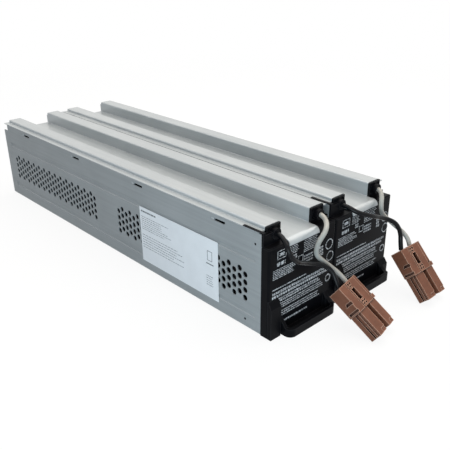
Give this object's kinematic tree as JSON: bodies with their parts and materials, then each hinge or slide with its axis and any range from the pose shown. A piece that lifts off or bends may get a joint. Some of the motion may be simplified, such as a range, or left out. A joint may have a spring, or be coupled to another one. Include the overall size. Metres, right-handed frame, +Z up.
{
  "type": "ups battery cartridge",
  "caption": "Rack UPS battery cartridge: paired long sheet-steel trays with vented walls, raised wiring rails, moulded pull-handle fronts and plug leads.",
  "frame": {"origin": "centre of the bounding box's underside, measured without the leads and plugs", "axes": "+Y from the handles to the rear, +X to the right seen from the handles, +Z up"},
  "size_m": [0.2103, 0.6681, 0.1211],
  "materials": {
    "zinc_steel": "satin",
    "pale_steel": "satin",
    "black_plastic": "matte",
    "tin_plate": "satin",
    "red_sleeve": "matte",
    "liner_sheet": "matte",
    "foam": "matte",
    "black_cable": "satin",
    "grey_cable": "satin",
    "brown_plastic": "satin",
    "block_case": "matte",
    "label_film": "satin"
  },
  "bodies": {
    "root": {"left_tray": "zinc_steel", "left_top_cover": "pale_steel", "left_front_cover": "black_plastic", "left_black_lead_cap": "black_plastic", "left_grey_lead_cap": "black_plastic", "left_battery_terminals": "tin_plate", "left_link_straps": "tin_plate", "left_return_bar": "red_sleeve", "left_lead_lugs": "tin_plate", "left_base_liner": "liner_sheet", "left_rear_pad": "foam", "left_black_lead": "black_cable", "left_grey_lead": "grey_cable", "left_connector_housing": "brown_plastic", "left_connector_contacts": "tin_plate", "left_battery_1": "block_case", "left_battery_2": "block_case", "left_battery_3": "block_case", "left_battery_4": "block_case", "left_battery_5": "block_case", "left_battery_6": "block_case", "left_battery_7": "block_case", "left_battery_8": "block_case", "right_tray": "zinc_steel", "right_top_cover": "pale_steel", "right_front_cover": "black_plastic", "right_black_lead_cap": "black_plastic", "right_grey_lead_cap": "black_plastic", "right_battery_terminals": "tin_plate", "right_link_straps": "tin_plate", "right_return_bar": "red_sleeve", "right_lead_lugs": "tin_plate", "right_base_liner": "liner_sheet", "right_rear_pad": "foam", "right_black_lead": "black_cable", "right_grey_lead": "grey_cable", "right_connector_housing": "brown_plastic", "right_connector_contacts": "tin_plate", "right_battery_1": "block_case", "right_battery_2": "block_case", "right_battery_3": "block_case", "right_battery_4": "block_case", "right_battery_5": "block_case", "right_battery_6": "block_case", "right_battery_7": "block_case", "right_battery_8": "block_case", "side_label": "label_film"}
  },
  "joints": []
}
